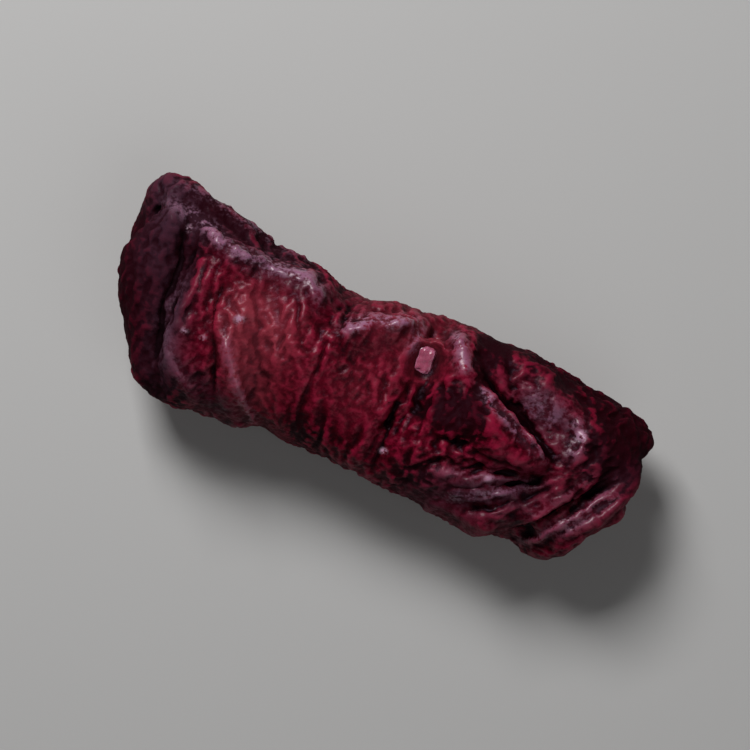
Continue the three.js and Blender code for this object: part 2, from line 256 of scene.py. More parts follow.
@dataclass(frozen=True)
class SkinFinish:
    """The waxy crimson skin: painted shade near black in the creases, a painted lilac sheen on crests, and
    matt, powdery purple patches that are partly painted sheen.

    The sizes of the patterns are widths in millimetres. The streaks' two turns are degrees from the berry's
    long axis. A band is the stretch of a pattern over which a mark or a colour comes in.
    """

    # crease: painted shade, near black, for the creases and the hollows between wrinkles
    crease: Colour = (0.0022, 0.0000, 0.0002)
    dark: Colour = (0.0130, 0.0002, 0.0015)
    body: Colour = (0.0820, 0.0003, 0.0070)
    bright: Colour = (0.2200, 0.0050, 0.0270)
    # flush: a brighter red, partly painted light on the lit cheek and in the shade round the grain
    flush_and_light: Colour = (0.2350, 0.0290, 0.0450)
    # side: painted light, an even brighter red for faces that turn sideways or down, set against the floor's
    # grey reflection
    side: Colour = (0.0950, 0.0024, 0.0100)
    # crest: painted lilac sheen, laid on the crests that the sheen mask picks out
    crest: Colour = (0.2900, 0.1420, 0.2200)
    # bloom: dusty purple grey, partly painted sheen
    bloom_and_sheen: Colour = (0.0440, 0.0170, 0.0290)
    # drop: a pale pink, painted glint on the drops of juice
    drop_glint: Colour = (0.4400, 0.2600, 0.3500)
    shine: Colour = (0.95, 0.66, 1.0)
    coat_shine: Colour = (1.0, 0.86, 0.96)
    scatter: Colour = (1.0, 0.22, 0.16)

    dark_and_shade_cover: float = 0.97
    dust_and_sheen_cover: float = 0.8
    painted_sheen_cover: float = 0.85
    side_light_cover: float = 0.65

    cloud: float = 1.3
    blotch: float = 0.80
    speck: float = 0.30
    streak: float = 0.26
    streak_length: float = 2.2
    streak_turns: Pair = (90.0, 32.0)
    leather: float = 0.16
    dot: float = 0.12
    pore: float = 0.11
    relief: float = 0.024

    risen_band: Band = (0.42, 0.80)
    body_band: Band = (0.26, 0.60)
    bright_band: Band = (0.49, 0.83)
    dark_and_shade_band: Band = (0.2, 0.8)
    dust_and_sheen_band: Band = (0.38, 0.66)
    painted_sheen_band: Band = (0.66, 0.98)
    crease_shade_band: Band = (0.80, 1.20)
    wet_and_glint_band: Band = (0.80, 1.05)
    glint_band: Band = (0.66, 0.92)

    def streaks(self, bench: Bench, turn: float) -> Wire:
        """Cloudy variation that is drawn out along a direction of the upper side.

        Args:
            bench: The material's bench.
            turn: The streaks' direction from the berry's long axis, in degrees.

        Returns:
            The variation, about 0 to 1.
        """
        wide = self.streak * MM
        inputs = {"Vector": bench.place, "Rotation": (0.0, 0.0, math.radians(-turn)),
                  "Scale": (1.0 / (wide * self.streak_length), 1.0 / wide, 1.0 / (1.4 * wide))}
        laid = bench.wire("ShaderNodeMapping", 0, {"vector_type": "POINT"}, inputs)
        turned = {"Vector": laid, "Scale": 1.0, "Detail": 4.0, "Roughness": 0.62, "Distortion": 0.5}
        return bench.wire("ShaderNodeTexNoise", "Fac", None, turned)

    def marks(self, bench: Bench) -> SkinMarks:
        """Lays out the patterns and the marks.

        Args:
            bench: The material's bench.

        Returns:
            The patterns and marks.
        """
        crest = bench.trait(Trait.CREST)
        upright, aslant = (self.streaks(bench, turn) for turn in self.streak_turns)
        streaks = upright + bench.trait(Trait.RIGHT) * (aslant - upright)
        clouds = bench.grain(self.cloud, 3.0, 0.6, 0.4)
        specks = bench.grain(self.speck, 3.0, 0.7, 0.3)
        dots = bench.grain(self.dot, 2.0, 0.6)
        blotches = bench.grain(self.blotch, 3.0, 0.6, 0.5)
        mottle = 0.5 * streaks + 0.5 * specks + dots.swing(0.2)
        risen = bench.between(crest + mottle.swing(0.7), self.risen_band)
        dust_and_sheen_spread = bench.between(mottle + crest.swing(0.5), self.dust_and_sheen_band)
        dust_and_sheen = (bench.trait(Trait.BLOOM_AND_SHEEN) * (0.3 + dust_and_sheen_spread)).clamped()
        broken = 0.9 * blotches + 0.6 * mottle + dots.swing(0.8) + crest.swing(0.35)
        painted_sheen = (bench.trait(Trait.PAINTED_SHEEN) * (0.05 + bench.between(broken, self.painted_sheen_band))).clamped()
        wet_and_glint = (bench.trait(Trait.WET_AND_GLINT) * bench.between(specks + dots, self.wet_and_glint_band)).clamped()
        return SkinMarks(clouds, specks, dots, mottle, risen, dust_and_sheen, painted_sheen, wet_and_glint)

    def colour(self, bench: Bench, marks: SkinMarks) -> Wire:
        """Lays the skin's colours over each other.

        Args:
            bench: The material's bench.
            marks: The patterns and marks.

        Returns:
            The colour.
        """
        crest, flush_and_light = bench.trait(Trait.CREST), bench.trait(Trait.FLUSH_AND_LIGHT)
        cloudy = marks.mottle + marks.clouds.swing(0.5)
        # Painted shade and light over the random mottle: darker where the skin sinks between the fine
        # wrinkles, brighter on their crests
        colour = bench.blend(bench.between(cloudy + crest.swing(0.35), self.body_band), self.dark, self.body)
        colour = bench.blend(bench.between(cloudy + crest.swing(0.5), self.bright_band), colour, self.bright)
        # Red flush, partly painted light, strongest on the risen bumps
        colour = bench.blend((flush_and_light * (0.55 + 0.6 * marks.risen)).clamped(), colour, self.flush_and_light)
        # Dark patches: darker skin, partly painted shade in the furrows and along the lower edge
        dark_and_shade_share = (bench.trait(Trait.DARK_AND_SHADE) + marks.clouds.swing(0.6) - 0.5 * (marks.risen - 0.3)).clamped()
        colour = bench.blend(bench.between(dark_and_shade_share, self.dark_and_shade_band) * self.dark_and_shade_cover, colour, self.dark)
        # Dusty bloom, partly painted sheen
        colour = bench.blend(marks.dust_and_sheen * self.dust_and_sheen_cover, colour, self.bloom_and_sheen)
        # Painted sheen: a pale lilac laid on the named crests
        colour = bench.blend(marks.painted_sheen * self.painted_sheen_cover, colour, self.crest)
        # Painted light: faces that turn sideways or down get an even, brighter red
        colour = bench.blend(bench.trait(Trait.SIDE) * self.side_light_cover, colour, self.side)
        # Painted shade: the creases and the hollows of the fine wrinkles and broad folds are darkened
        # towards near black, less so on the red flush
        depth = bench.between(1.0 - crest + 0.9 * (0.5 - bench.trait(Trait.FOLD)), self.crease_shade_band)
        colour = bench.blend(depth * (0.85 - 0.35 * flush_and_light).clamped(), colour, self.crease)
        # Drops of juice, with a painted pale glint
        return bench.blend(marks.wet_and_glint, colour, self.drop_glint)

    def roughness(self, bench: Bench, marks: SkinMarks) -> Wire:
        """The roughness: dull in the matt purple patches, in the dark patches and where the skin is steep,
        and smooth on the drops.
        """
        dull = 0.34 + 0.30 * marks.dust_and_sheen + 0.32 * bench.trait(Trait.DARK_AND_SHADE) + 0.30 * bench.trait(Trait.STEEP)
        return (dull - 0.15 * marks.wet_and_glint + marks.specks.swing(0.25) + marks.dots.swing(0.20)).clamped()

    def wax(self, bench: Bench, marks: SkinMarks) -> Wire:
        """The waxy coat, which glints where the crests carry the painted lilac sheen, and on drops.

        Args:
            bench: The material's bench.
            marks: The patterns and marks.

        Returns:
            The coat's weight.
        """
        glitter = 0.5 * marks.specks + 0.7 * marks.dots + 0.3 * bench.trait(Trait.CREST)
        glint = bench.between(glitter, self.glint_band)
        lit = 0.28 * (1.0 - bench.trait(Trait.DARK_AND_SHADE)) + 1.2 * marks.painted_sheen
        return (glint * lit + 0.25 * marks.painted_sheen + 0.8 * marks.wet_and_glint).clamped()

    def material(self) -> bpy.types.Material:
        """Builds the material.

        Returns:
            The skin's material, which reads the values that the mesh carries.
        """
        bench = Bench("cranberry_skin")
        marks = self.marks(bench)
        leather = bench.wire("ShaderNodeTexVoronoi", "Distance", {"feature": "F1"},
                             {"Vector": bench.place, "Scale": 1.0 / (self.leather * MM)})
        height = 0.5 * leather + 0.8 * marks.specks + 0.8 * bench.grain(self.pore, 4.0, 0.65)
        return bench.finish(
            Base_Color=self.colour(bench, marks), Roughness=self.roughness(bench, marks),
            Normal=bench.bump(height, self.relief, 0.8), IOR=1.14, Specular_IOR_Level=0.5,
            Specular_Tint=(*self.shine, 1.0), Coat_Weight=self.wax(bench, marks), Coat_Roughness=0.36,
            Coat_Tint=(*self.coat_shine, 1.0), Subsurface_Weight=0.05, Subsurface_Radius=self.scatter,
            Subsurface_Scale=0.2 * MM)


@dataclass(frozen=True)
class SugarFinish:
    """A grain of sugar that has drunk the berry's juice: pink, glassy and slightly cloudy."""

    core: Colour = (0.33, 0.068, 0.125)
    edge: Colour = (0.42, 0.130, 0.215)
    scatter: Colour = (1.0, 0.5, 0.6)
    cloud: float = 0.3
    pit: float = 0.14
    relief: float = 0.02

    def material(self) -> bpy.types.Material:
        """Builds the material.

        Returns:
            The sugar's material.
        """
        bench = Bench("stained_sugar")
        cloud = bench.grain(self.cloud, 3.0, 0.6)
        edge = (bench.trait(Trait.EDGE) * 0.8 + cloud.swing(0.5)).clamped()
        normal = bench.bump(bench.grain(self.pit, 3.0, 0.6), self.relief, 0.7)
        return bench.finish(
            Base_Color=bench.blend(edge, self.core, self.edge), Normal=normal,
            Roughness=(0.26 + cloud.swing(0.3)).clamped(), Specular_IOR_Level=0.5,
            Subsurface_Weight=0.35, Subsurface_Radius=self.scatter, Subsurface_Scale=0.25 * MM)


@dataclass(frozen=True)
class FloorFinish:
    """A plain pale floor."""

    paint: Colour = (0.48, 0.475, 0.47)

    def material(self) -> bpy.types.Material:
        """Builds the floor's material."""
        bench = Bench("pale_floor")
        return bench.finish(Base_Color=(*self.paint, 1.0), Roughness=0.85, Specular_IOR_Level=0.2)


# Skin in cells


def smoothstep(value: np.ndarray, band: Band) -> np.ndarray:
    """Runs smoothly from 0 at a band's first end to 1 at its second, which may be the lower one."""
    t = np.clip((value - band[0]) / (band[1] - band[0]), 0.0, 1.0)
    return t * t * (3.0 - 2.0 * t)


def held(value: np.ndarray) -> np.ndarray:
    """The value held between 0 and 1."""
    return np.clip(value, 0.0, 1.0)


def bell(value: np.ndarray) -> np.ndarray:
    """A bell curve of height 1 and half width 1."""
    return np.exp(-value * value)


@dataclass(frozen=True)
class DryingTurn:
    """One turn of drying, in which the skin has more length than the flesh has room for.

    Bend is how stiff the skin is. Lift and sink are how firmly the flesh holds skin that rises or dips.
    First, reach and seed are the height, the width and the seed of the unevenness that wrinkles start from.
    """

    excess: float
    bend: float
    lift: float
    sink: float
    steps: int
    first: float
    reach: float
    seed: float


class SkinCells:
    """The skin as a net of cells that can be cut finer, smoothed and dried.

    The pull share is how far the springs go towards their rest lengths in one step.
    """

    pull_share = 0.8

    def __init__(self, data: bpy.types.Mesh) -> None:
        """Takes the closed skin, which is all triangles."""
        self.data = data
        self.read()

    def read(self) -> None:
        """Reads places, faces and springs from the mesh."""
        count = len(self.data.vertices)
        flat = np.empty(3 * count)
        self.data.vertices.foreach_get("co", flat)
        self.points = flat.reshape(-1, 3)
        corners_flat = np.empty(len(self.data.loops), np.int64)
        self.data.loops.foreach_get("vertex_index", corners_flat)
        self.faces = corners_flat.reshape(-1, 3)
        turns = np.vstack([self.faces, np.roll(self.faces, -1, axis=1), np.roll(self.faces, -2, axis=1)])
        low, high = turns[:, :2].min(axis=1), turns[:, :2].max(axis=1)
        order = np.argsort(low * count + high, kind="stable")
        first, second = order[0::2], order[1::2]
        self.sides = np.stack([low[first], high[first]], axis=1)
        across = np.stack([turns[first, 2], turns[second, 2]], axis=1)
        self.springs = np.vstack([self.sides, across])
        self.side_count = self.counts(self.sides)
        self.spring_count = self.counts(self.springs)

    def counts(self, pairs: np.ndarray) -> np.ndarray:
        """How many pairs meet at each vertex."""
        return np.bincount(pairs.ravel(), minlength=len(self.points)).astype(float)[:, None]

    def write(self) -> None:
        """Sets the mesh's vertices to the places held here."""
        self.data.vertices.foreach_set("co", self.points.ravel())
        self.data.update()

    def cut_finer(self) -> None:
        """Cuts every face in four."""
        self.write()
        mesh = bmesh.new()
        mesh.from_mesh(self.data)
        bmesh.ops.subdivide_edges(mesh, edges=mesh.edges, cuts=1, use_grid_fill=True)
        mesh.to_mesh(self.data)
        mesh.free()
        self.read()

    def gather(self, pairs: np.ndarray, pull: np.ndarray) -> np.ndarray:
        """Sums what each pair pulls at its two vertices.

        Args:
            pairs: Vertex numbers.
            pull: The pull on the first vertex of each pair, which the second feels the other way.

        Returns:
            The sum at each vertex.
        """
        count, (first, second) = len(self.points), pairs.T
        columns = [np.bincount(first, part, count) - np.bincount(second, part, count) for part in pull.T]
        return np.stack(columns, axis=1)

    def stand_off(self, places: np.ndarray) -> np.ndarray:
        """How far the mean of its neighbours lies from each vertex."""
        return self.gather(self.sides, places[self.sides[:, 1]] - places[self.sides[:, 0]]) / self.side_count

    def smoothed(self, places: np.ndarray, passes: int, share: float = 0.5) -> np.ndarray:
        """Smooths a field over the skin.

        Args:
            places: One row per vertex.
            passes: How many times.
            share: How far each vertex goes to the mean of its neighbours.

        Returns:
            The smoothed field.
        """
        for _ in range(passes):
            places = places + share * self.stand_off(places)
        return places

    def normals(self) -> np.ndarray:
        """Works out which way the skin faces.

        Returns:
            The outward direction at each vertex.
        """
        a, b, c = (self.points[self.faces[:, k]] for k in range(3))
        face = np.cross(b - a, c - a)
        total = np.zeros_like(self.points)
        for k in range(3):
            for axis in range(3):
                total[:, axis] += np.bincount(self.faces[:, k], face[:, axis], len(self.points))
        return total / np.maximum(np.linalg.norm(total, axis=1, keepdims=True), 1e-12)

    def unevenness(self, reach: float, seed: float) -> np.ndarray:
        """Random height at each vertex, about -1 to 1, in patches of that width. The seed moves them."""
        shift = Vector((seed, 1.7 * seed, 2.3 * seed))
        return np.array([noise.noise(Vector(p) / reach + shift) for p in self.points])

    def dry(self, turn: DryingTurn, excess_share: np.ndarray) -> None:
        """Dries the skin for one turn, so that it buckles into wrinkles.

        Args:
            turn: The turn's sizes.
            excess_share: How much of the excess each spring has.
        """
        flesh, normal = self.points.copy(), self.normals()
        a, b = self.springs[:, 0], self.springs[:, 1]
        rest = np.linalg.norm(flesh[b] - flesh[a], axis=1) * (1.0 + turn.excess * excess_share)
        rest_curve = self.stand_off(flesh)
        p = flesh + normal * (turn.first * self.unevenness(turn.reach, turn.seed))[:, None]
        for _ in range(turn.steps):
            gap = p[b] - p[a]
            length = np.sqrt(np.einsum("ij,ij->i", gap, gap))
            give = self.pull_share * (length - rest) / length
            pull = self.gather(self.springs, gap * give[:, None]) / self.spring_count
            bend = self.stand_off(self.stand_off(p) - rest_curve)
            out = np.einsum("ij,ij->i", p - flesh, normal)
            hold = out * np.where(out > 0.0, turn.lift, turn.sink)
            p = p + pull - turn.bend * bend - hold[:, None] * normal
        self.points = p


# Creases, patches and small bumps, which are placed as they are seen from above

GRAIN_SPOT = (1.277, 1.051)
END_SHARE = 0.1  # how much a crease keeps of its height at its very ends
END_SLOPE = 5.0  # how fast it grows from there, over its whole length
LEAST_COVER = 0.03  # the cover under which a crumple leaves the skin as it is


@dataclass(frozen=True)
class Crease:
    """A crest or furrow of the skin on a route of (x, y) places, and how much painted lilac sheen its crest
    carries.
    """

    half: float
    rise: float
    route: tuple[Pair, ...]
    pale: float = 0.0

    def nearness(self, x: np.ndarray, y: np.ndarray, half: float) -> np.ndarray:
        """How near each place is to the line.

        Args:
            x: Places along the berry.
            y: Places across it.
            half: The distance at which it has fallen by two thirds.

        Returns:
            1 on the line, falling to 0 away from it and towards its two ends.
        """
        stops = np.array(self.route)
        legs = np.linalg.norm(np.diff(stops, axis=0), axis=1)
        gaps, along, gone = [], [], 0.0
        for start, end, leg in zip(stops[:-1], stops[1:], legs):
            unit = (end - start) / leg
            t = np.clip((x - start[0]) * unit[0] + (y - start[1]) * unit[1], 0.0, leg)
            gaps.append(np.hypot(x - start[0] - t * unit[0], y - start[1] - t * unit[1]))
            along.append((gone + t) / legs.sum())
            gone += leg
        nearest = np.argmin(gaps, axis=0)
        here = np.arange(len(x))
        s = np.array(along)[nearest, here]
        fade = np.minimum(1.0, END_SHARE + END_SLOPE * np.minimum(s, 1.0 - s))
        return bell(np.array(gaps)[nearest, here] / half) * fade


@dataclass(frozen=True)
class Patch:
    """An oval patch of the skin, seen from above."""

    x: float
    y: float
    long: float
    wide: float
    turn: float
    weight: float

    def cover(self, x: np.ndarray, y: np.ndarray) -> np.ndarray:
        """How much of the patch's finish each place has.

        Args:
            x: Places along the berry.
            y: Places across it.

        Returns:
            The patch's weight in its middle, falling to 0 away from it.
        """
        c, s = math.cos(math.radians(self.turn)), math.sin(math.radians(self.turn))
        along = (x - self.x) * c + (y - self.y) * s
        aside = (y - self.y) * c - (x - self.x) * s
        return self.weight * bell(np.hypot(along / self.long, aside / self.wide))


def covered(patches: Iterable[Patch], x: np.ndarray, y: np.ndarray) -> np.ndarray:
    """How much of several patches' finish each place has, up to 1."""
    return held(sum(patch.cover(x, y) for patch in patches))


CREASES = (
    # the collar round the blunt cap, and the nick above it
    Crease(0.14, -0.20, ((-7.35, 2.5), (-7.15, 1.9), (-6.95, 0.8), (-6.9, -0.5), (-6.7, -1.5),
                         (-6.3, -2.3))),
    Crease(0.14, -0.18, ((-8.6, 3.1), (-8.35, 2.5), (-8.4, 1.9))),
    # the crest along the upper left, with the gutter and the thin rim over it
    Crease(0.18, 0.20, ((-8.3, 2.5), (-7.5, 2.42), (-6.8, 2.33), (-6.0, 1.92), (-5.2, 1.83), (-4.2, 1.86),
                        (-3.1, 2.03), (-2.6, 1.7), (-2.4, 1.2)), 0.9),
    Crease(0.22, -0.12, ((-7.0, 2.85), (-5.6, 2.45), (-4.2, 2.35), (-3.0, 2.45), (-2.2, 2.2))),
    Crease(0.16, 0.10, ((-8.2, 3.2), (-6.7, 3.1), (-5.2, 2.8), (-3.0, 2.6)), 0.4),
    # the shoulder's edge and the cheek under the crest
    Crease(0.18, 0.12, ((-6.72, 0.9), (-6.7, -1.0), (-6.0, -2.1), (-4.9, -2.9)), 0.2),
    Crease(0.11, -0.16, ((-5.5, 1.2), (-5.34, 0.14), (-4.9, -1.2), (-4.3, -2.7))),
    Crease(0.16, 0.16, ((-4.9, -0.5), (-4.3, -1.4), (-3.6, -2.2), (-2.9, -2.9)), 0.35),
    Crease(0.10, -0.07, ((-4.4, 0.9), (-4.0, 0.1), (-3.5, -0.9), (-3.0, -1.8))),
    Crease(0.14, 0.10, ((-3.9, 0.7), (-3.4, -0.1), (-2.9, -1.0))),
    Crease(0.10, -0.07, ((-3.1, 1.3), (-2.8, 0.5), (-2.3, -0.3))),
    Crease(0.10, -0.06, ((-6.2, 1.5), (-6.1, 0.4), (-6.05, -0.9))),
    Crease(0.10, -0.06, ((-5.75, 1.4), (-5.7, 0.5), (-5.6, -0.3))),
    # the fine upright creases of the middle
    Crease(0.10, -0.08, ((-1.9, 0.6), (-1.7, -0.5), (-1.8, -1.6), (-1.6, -2.4))),
    Crease(0.10, -0.06, ((-0.9, 0.9), (-0.8, -0.2), (-0.6, -1.2))),
    Crease(0.10, -0.08, ((-1.0, -1.5), (-0.9, -2.3), (-0.95, -3.0))),
    Crease(0.10, -0.08, ((0.15, -1.4), (0.2, -2.2), (0.1, -2.9))),
    # the slanting ridge of the middle, and the waist
    Crease(0.18, 0.20, ((-1.6, 0.8), (-1.3, 1.08), (-0.67, 1.55), (0.0, 1.83), (0.75, 2.1)), 1.0),
    Crease(0.10, -0.09, ((-1.0, 1.75), (-0.3, 2.1), (0.4, 2.35))),
    Crease(0.12, -0.12, ((1.1, 2.5), (1.05, 1.7), (1.12, 0.7), (1.0, -0.5), (1.02, -1.7), (1.12, -2.8))),
    Crease(0.14, 0.09, ((0.75, 2.1), (0.75, 1.5), (0.8, 0.9)), 0.6),
    Crease(0.18, 0.16, ((1.75, 2.3), (2.0, 2.0), (2.3, 1.6), (2.65, 1.1)), 0.8),
    # the swell and the crest that run down to the calyx end, the furrow over them, and the hollow's edges
    # and floor, whose pale lilac is painted sheen
    Crease(0.40, 0.55, ((3.6, 0.42), (4.3, 0.12), (5.1, -0.25), (6.0, -0.62))),
    Crease(0.12, 0.44, ((3.0, 1.0), (3.5, 0.75), (4.17, 0.42), (5.08, -0.08), (6.0, -0.42)), 1.3),
    Crease(0.15, -0.30, ((2.9, 1.45), (3.4, 1.15), (4.2, 0.8), (5.2, 0.3), (6.0, -0.05))),
    Crease(0.16, -0.14, ((3.4, 2.4), (3.6, 1.9), (4.1, 1.2))),
    Crease(0.10, -0.06, ((3.1, 0.4), (4.2, -0.05), (5.2, -0.5), (6.0, -0.75))),
    Crease(0.18, 0.12, ((6.2, 1.3), (6.5, 0.9), (6.7, 0.4), (6.55, -0.1)), 0.5),
    Crease(0.40, 0.0, ((4.5, 1.15), (5.2, 1.0), (6.0, 0.85)), 0.5),
    # the fan of creases that meet at the end of that ridge
    Crease(0.10, -0.10, ((2.0, -1.0), (3.4, -0.9), (4.8, -0.95), (6.0, -0.8))),
    Crease(0.11, -0.11, ((2.2, -1.8), (3.6, -1.55), (4.9, -1.25), (6.1, -0.9))),
    Crease(0.11, -0.13, ((2.9, -2.5), (4.1, -2.0), (5.3, -1.4), (6.25, -0.95))),
    Crease(0.11, -0.13, ((4.0, -2.9), (5.0, -2.25), (5.9, -1.5), (6.5, -0.9))),
    Crease(0.13, 0.14, ((2.6, -2.1), (3.9, -1.75), (5.1, -1.3), (6.0, -0.9)), 0.25),
    Crease(0.13, 0.14, ((3.4, -2.75), (4.6, -2.1), (5.6, -1.45), (6.3, -0.85)), 0.5),
    # the lip of the calyx end and the shallow groove inside it
    Crease(0.32, 0.42, ((6.3, -2.6), (6.9, -1.7), (7.4, -0.9))),
    Crease(0.12, 0.24, ((6.15, -3.2), (6.8, -2.6), (7.5, -1.6), (8.1, -0.6), (8.4, 0.0)), 0.35),
    Crease(0.12, 0.22, ((6.0, -2.4), (6.6, -1.7), (7.2, -0.8), (7.6, -0.1)), 0.15),
    Crease(0.12, 0.16, ((7.2, -2.5), (7.8, -1.7), (8.3, -0.9), (8.6, -0.3)), 0.3),
    Crease(0.12, -0.10, ((6.6, -0.5), (7.1, 0.1), (7.3, 0.9))),
)


@dataclass(frozen=True)
class Crumple:
    """Short crests and bumps that are drawn out one way, over the part of the skin round a place.

    Size is the bumps' width, and stretch is how many times longer they are. Sharp is how much of the relief
    is crests instead of round bumps.
    """

    spot: Pair
    reach: Pair
    turn: float
    size: float
    stretch: float
    depth: float
    sharp: float
    seed: float

    def cover(self, x: np.ndarray, y: np.ndarray) -> np.ndarray:
        """How much of this relief each place has."""
        return bell(np.hypot((x - self.spot[0]) / self.reach[0], (y - self.spot[1]) / self.reach[1]))

    def height(self, points: np.ndarray, cover: np.ndarray) -> np.ndarray:
        """Works out the relief.

        Args:
            points: The skin's places.
            cover: How much of the relief each place has.

        Returns:
            One height in millimetres per place.
        """
        turned = Matrix.Rotation(math.radians(-self.turn), 3, "Z")
        fine = Matrix.Diagonal((1.0 / (self.size * self.stretch), 1.0 / self.size, 0.7 / self.size)) @ turned
        shift = Vector((self.seed, 2.1 * self.seed, 0.7 * self.seed))
        height = np.zeros(len(points))
        for k in np.nonzero(cover > LEAST_COVER)[0]:
            place = fine @ Vector(points[k]) + shift
            place += 0.5 * noise.noise_vector(0.7 * place)
            swell = 0.8 * noise.noise(place) + 0.5 * noise.noise(2.3 * place)
            crest = 0.3 - 1.1 * abs(noise.noise(1.3 * place + shift))
            height[k] = swell + self.sharp * (crest - 0.6 * swell)
        return self.depth * cover * height


CRUMPLES = (
    Crumple((-7.9, 0.5), (1.4, 4.0), 92, 0.55, 1.3, 0.12, 0.2, 1.0),
    Crumple((-5.9, 0.0), (1.2, 4.0), 100, 0.42, 1.6, 0.13, 0.3, 2.0),
    Crumple((-3.9, -0.3), (1.6, 2.4), 122, 0.44, 2.0, 0.12, 0.2, 23.0),
    Crumple((-3.9, 2.6), (3.0, 1.2), 170, 0.45, 1.6, 0.13, 0.4, 4.0),
    Crumple((-1.0, 0.0), (1.8, 4.0), 95, 0.45, 1.6, 0.12, 0.2, 5.0),
    Crumple((1.8, 0.0), (1.3, 4.0), 85, 0.45, 1.5, 0.14, 0.4, 6.0),
    Crumple((4.6, -1.8), (2.6, 1.6), 33, 0.40, 2.1, 0.16, 0.7, 7.0),
    Crumple((5.0, 1.4), (2.6, 1.5), -22, 0.45, 1.4, 0.14, 0.3, 8.0),
    Crumple((8.0, 0.0), (1.3, 3.5), 62, 0.42, 1.8, 0.16, 0.6, 9.0),
    Crumple((0.0, 0.0), (30.0, 30.0), 90, 0.60, 2.0, 0.10, 0.6, 14.0),
    Crumple((0.0, 0.0), (30.0, 30.0), 0, 0.26, 1.0, 0.035, 0.2, 12.0),
)


# The pieces


def placed(name: str, data: bpy.types.Mesh, traits: dict[Trait, np.ndarray],
           material: bpy.types.Material) -> bpy.types.Object:
    """Puts a finished piece in the scene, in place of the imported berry.

    Args:
        name: The piece's name.
        data: Its mesh, in metres.
        traits: What its finish needs to know of each vertex.
        material: Its finish.

    Returns:
        The piece.
    """
    data.polygons.foreach_set("use_smooth", [True] * len(data.polygons))
    for trait, value in traits.items():
        layer = data.attributes.new(trait.value, "FLOAT", "POINT")
        layer.data.foreach_set("value", value.astype(np.float32))
    piece = bpy.data.objects.new(name, data)
    bpy.context.scene.collection.objects.link(piece)
    piece.data.materials.append(material)
    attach(piece, "root")
    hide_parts(NODE)
    return piece


